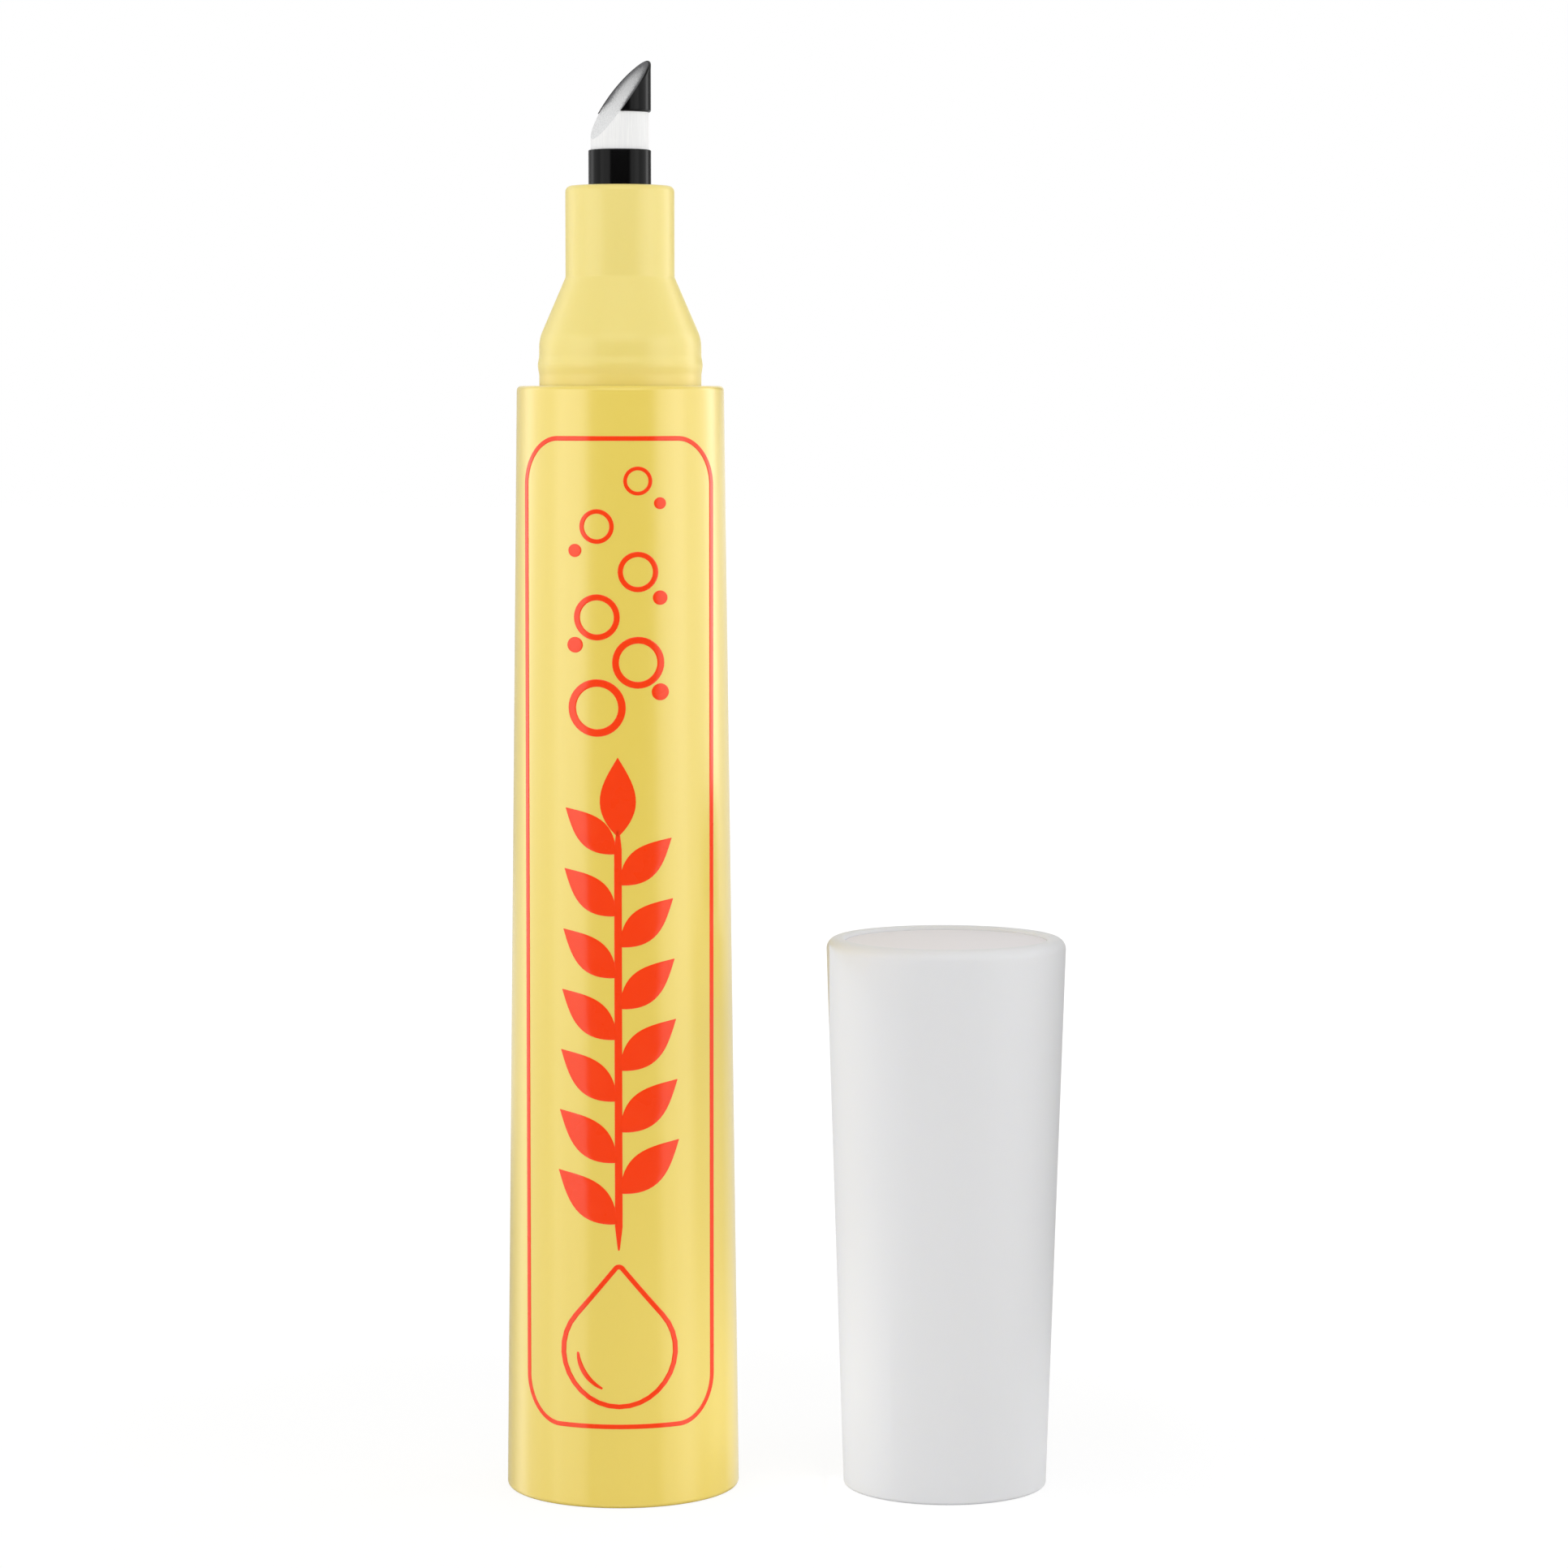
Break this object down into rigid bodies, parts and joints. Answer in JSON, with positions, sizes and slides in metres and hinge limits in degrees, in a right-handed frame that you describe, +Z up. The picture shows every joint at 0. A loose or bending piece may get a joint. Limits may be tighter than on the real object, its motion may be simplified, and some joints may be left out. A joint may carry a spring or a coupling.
{
  "type": "cuticle remover pen",
  "caption": "Felt-tip pen for cuticle remover: flared yellow barrel on a flat base, stepped neck, slanted white felt nib with a black tip, and a pull-off grey cap standing beside it.",
  "frame": {"origin": "centre of the pen's flat end plug, on the surface that the pen stands on", "axes": "+Z up the pen's axis towards the nib, +X towards the cap that stands beside the pen, +Y away from the side that shows the ground face of the nib"},
  "size_m": [0.0419, 0.018, 0.1063],
  "materials": {
    "yellow_barrel": "satin moulded yellow",
    "yellow_section": "soft satin moulded yellow, a little paler",
    "orange_ink": "glossy orange screen print",
    "black_plastic": "glossy black",
    "white_felt": "pressed white fibre, ground to a slant",
    "reservoir_white": "bundled white fibre",
    "clear_film": "thin clear film",
    "grey_cap": "soft matte pale grey",
    "natural_liner": "natural unpigmented plastic"
  },
  "bodies": {
    "pen": {"barrel": "yellow_barrel", "end_plug": "yellow_barrel", "reservoir_film": "clear_film", "reservoir_fibre": "reservoir_white", "front_section": "yellow_section", "nib_sleeve": "black_plastic", "felt_nib": "white_felt", "pusher_tip": "black_plastic"},
    "cap": {"cap_shell": "grey_cap", "cap_end_disc": "grey_cap", "cap_liner": "natural_liner"}
  },
  "joints": [
    {"name": "cap_lift", "type": "slide", "parent": "pen", "child": "cap", "axis": [0, 0, 1], "range_m": [0, 0.12]}
  ]
}
